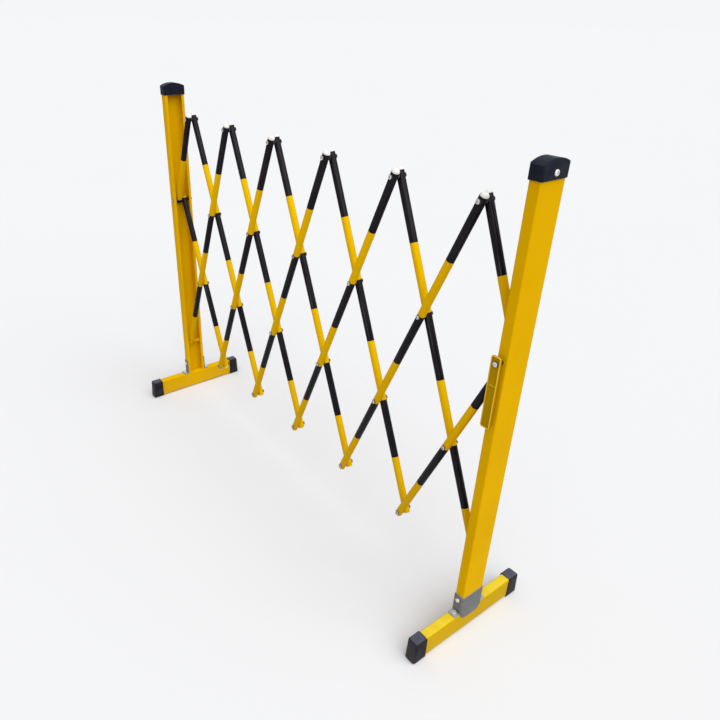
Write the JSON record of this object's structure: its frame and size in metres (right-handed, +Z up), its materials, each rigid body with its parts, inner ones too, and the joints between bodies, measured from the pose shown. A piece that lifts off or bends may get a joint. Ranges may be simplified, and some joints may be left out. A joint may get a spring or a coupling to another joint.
{
  "type": "expandable barrier",
  "caption": "Expandable safety barrier: a scissor lattice of yellow and black banded tubes that folds between two lipped channel posts on cross feet.",
  "frame": {"origin": "on the floor, midway between the two posts as the barrier stands, half open", "axes": "+X along the barrier from the left post to the right post, -Y towards the front, +Z up"},
  "size_m": [1.4844, 0.3814, 1.1466],
  "materials": {
    "banded_paint": "gloss yellow with black bands",
    "yellow_paint": "gloss",
    "black_plastic": "satin",
    "yellow_plastic": "satin",
    "white_plastic": "satin",
    "black_rubber": "matt",
    "galvanised": "zinc coated",
    "zinc": "zinc coated"
  },
  "bodies": {
    "right_post": {"right_post": "yellow_paint", "right_post_cap": "black_plastic", "right_cap_screw": "zinc", "right_foot_tube": "yellow_paint", "right_foot_boots": "black_rubber", "right_foot_bracket": "galvanised", "right_bracket_bolts": "zinc", "right_post_pin": "zinc", "right_pin_spacers": "black_plastic"},
    "right_slider": {"right_slider_glides": "yellow_plastic", "right_slider_pin": "zinc", "right_slider_spacers": "yellow_plastic"},
    "left_post": {"left_post": "yellow_paint", "left_post_cap": "black_plastic", "left_cap_screw": "zinc", "left_foot_tube": "yellow_paint", "left_foot_boots": "black_rubber", "left_foot_bracket": "galvanised", "left_bracket_bolts": "zinc", "left_post_pin": "zinc", "left_pin_spacers": "black_plastic"},
    "left_slider": {"left_slider_glides": "yellow_plastic", "left_slider_pin": "zinc", "left_slider_spacers": "yellow_plastic"},
    "front_bar_1": {"front_bar_1": "banded_paint", "front_bar_1_plugs": "white_plastic", "front_bar_1_rivets": "zinc"},
    "rear_bar_1": {"rear_bar_1": "banded_paint", "rear_bar_1_plugs": "white_plastic"},
    "front_bar_2": {"front_bar_2": "banded_paint", "front_bar_2_plugs": "white_plastic", "front_bar_2_rivets": "zinc"},
    "rear_bar_2": {"rear_bar_2": "banded_paint", "rear_bar_2_plugs": "white_plastic"},
    "front_bar_3": {"front_bar_3": "banded_paint", "front_bar_3_plugs": "white_plastic", "front_bar_3_rivets": "zinc"},
    "rear_bar_3": {"rear_bar_3": "banded_paint", "rear_bar_3_plugs": "white_plastic"},
    "front_bar_4": {"front_bar_4": "banded_paint", "front_bar_4_plugs": "white_plastic", "front_bar_4_rivets": "zinc"},
    "rear_bar_4": {"rear_bar_4": "banded_paint", "rear_bar_4_plugs": "white_plastic"},
    "front_bar_5": {"front_bar_5": "banded_paint", "front_bar_5_plugs": "white_plastic", "front_bar_5_rivets": "zinc"},
    "rear_bar_5": {"rear_bar_5": "banded_paint", "rear_bar_5_plugs": "white_plastic"},
    "front_bar_6": {"front_bar_6": "banded_paint", "front_bar_6_plugs": "white_plastic", "front_bar_6_rivets": "zinc"},
    "rear_bar_6": {"rear_bar_6": "banded_paint", "rear_bar_6_plugs": "white_plastic"},
    "front_bar_7": {"front_bar_7": "banded_paint", "front_bar_7_plugs": "white_plastic", "front_bar_7_rivets": "zinc"},
    "rear_bar_7": {"rear_bar_7": "banded_paint", "rear_bar_7_plugs": "white_plastic"},
    "lock_lever": {"lock_lever": "yellow_paint"}
  },
  "joints": [
    {"name": "fold", "type": "hinge", "parent": "right_post", "child": "rear_bar_7", "pos_m": [0.72207, 0, 0.7631], "axis": [0, -1, 0], "range_deg": [-20.87, 22]},
    {"name": "front_bar_6_pivot", "type": "hinge", "parent": "rear_bar_7", "child": "front_bar_6", "pos_m": [0.60173, 0, 1.04662], "axis": [0, -1, 0], "range_deg": [-44.5, 42.24]},
    {"name": "rear_bar_4_pivot", "type": "hinge", "parent": "front_bar_6", "child": "rear_bar_4", "pos_m": [0.24069, 0, 0.19607], "axis": [0, -1, 0], "range_deg": [-42.24, 44.5]},
    {"name": "front_bar_3_pivot", "type": "hinge", "parent": "rear_bar_4", "child": "front_bar_3", "pos_m": [-0.12035, 0, 1.04662], "axis": [0, -1, 0], "range_deg": [-44.5, 42.24]},
    {"name": "rear_bar_1_pivot", "type": "hinge", "parent": "front_bar_3", "child": "rear_bar_1", "pos_m": [-0.48138, 0, 0.19607], "axis": [0, -1, 0], "range_deg": [-42.24, 44.5]},
    {"name": "left_post_pivot", "type": "hinge", "parent": "rear_bar_1", "child": "left_post", "pos_m": [-0.72207, 0, 0.7631], "axis": [0, -1, 0], "range_deg": [-22.5, 21.37]},
    {"name": "rear_bar_6_pivot", "type": "hinge", "parent": "front_bar_6", "child": "rear_bar_6", "pos_m": [0.48138, 0, 0.7631], "axis": [0, -1, 0], "range_deg": [-42.24, 44.5]},
    {"name": "rear_bar_5_pivot", "type": "hinge", "parent": "front_bar_6", "child": "rear_bar_5", "pos_m": [0.36104, 0, 0.47958], "axis": [0, -1, 0], "range_deg": [-42.24, 44.5]},
    {"name": "front_bar_5_pivot", "type": "hinge", "parent": "rear_bar_4", "child": "front_bar_5", "pos_m": [0.12035, 0, 0.47958], "axis": [0, -1, 0], "range_deg": [-44.5, 42.24]},
    {"name": "front_bar_4_pivot", "type": "hinge", "parent": "rear_bar_4", "child": "front_bar_4", "pos_m": [0, 0, 0.7631], "axis": [0, -1, 0], "range_deg": [-44.5, 42.24]},
    {"name": "front_bar_7_pivot", "type": "hinge", "parent": "rear_bar_6", "child": "front_bar_7", "pos_m": [0.60173, 0, 0.47958], "axis": [0, -1, 0], "range_deg": [-44.5, 42.24]},
    {"name": "rear_bar_3_pivot", "type": "hinge", "parent": "front_bar_3", "child": "rear_bar_3", "pos_m": [-0.24069, 0, 0.7631], "axis": [0, -1, 0], "range_deg": [-42.24, 44.5]},
    {"name": "rear_bar_2_pivot", "type": "hinge", "parent": "front_bar_3", "child": "rear_bar_2", "pos_m": [-0.36104, 0, 0.47958], "axis": [0, -1, 0], "range_deg": [-42.24, 44.5]},
    {"name": "front_bar_1_pivot", "type": "hinge", "parent": "rear_bar_2", "child": "front_bar_1", "pos_m": [-0.60173, 0, 1.04662], "axis": [0, -1, 0], "range_deg": [-44.5, 42.24]},
    {"name": "front_bar_2_pivot", "type": "hinge", "parent": "rear_bar_1", "child": "front_bar_2", "pos_m": [-0.60173, 0, 0.47958], "axis": [0, -1, 0], "range_deg": [-44.5, 42.24]},
    {"name": "left_slider_pivot", "type": "hinge", "parent": "front_bar_2", "child": "left_slider", "pos_m": [-0.72207, 0, 0.19607], "axis": [0, -1, 0], "range_deg": [-21.37, 22.5]},
    {"name": "right_slider_pivot", "type": "hinge", "parent": "rear_bar_6", "child": "right_slider", "pos_m": [0.72207, 0, 0.19607], "axis": [0, -1, 0], "range_deg": [-22.5, 21.37]},
    {"name": "lock_lever_hinge", "type": "hinge", "parent": "right_post", "child": "lock_lever", "pos_m": [0.72207, 0, 0.7631], "axis": [0, 1, 0], "range_deg": [0, 110]}
  ],
  "couplings": [
    {"joint": "front_bar_6_pivot", "follows": "fold", "ratio": -2},
    {"joint": "rear_bar_4_pivot", "follows": "fold", "ratio": 2},
    {"joint": "front_bar_3_pivot", "follows": "fold", "ratio": -2},
    {"joint": "rear_bar_1_pivot", "follows": "fold", "ratio": 2},
    {"joint": "left_post_pivot", "follows": "fold", "ratio": -1},
    {"joint": "rear_bar_6_pivot", "follows": "fold", "ratio": 2},
    {"joint": "rear_bar_5_pivot", "follows": "fold", "ratio": 2},
    {"joint": "front_bar_5_pivot", "follows": "fold", "ratio": -2},
    {"joint": "front_bar_4_pivot", "follows": "fold", "ratio": -2},
    {"joint": "front_bar_7_pivot", "follows": "fold", "ratio": -2},
    {"joint": "rear_bar_3_pivot", "follows": "fold", "ratio": 2},
    {"joint": "rear_bar_2_pivot", "follows": "fold", "ratio": 2},
    {"joint": "front_bar_1_pivot", "follows": "fold", "ratio": -2},
    {"joint": "front_bar_2_pivot", "follows": "fold", "ratio": -2},
    {"joint": "left_slider_pivot", "follows": "fold", "ratio": 1},
    {"joint": "right_slider_pivot", "follows": "fold", "ratio": -1}
  ]
}
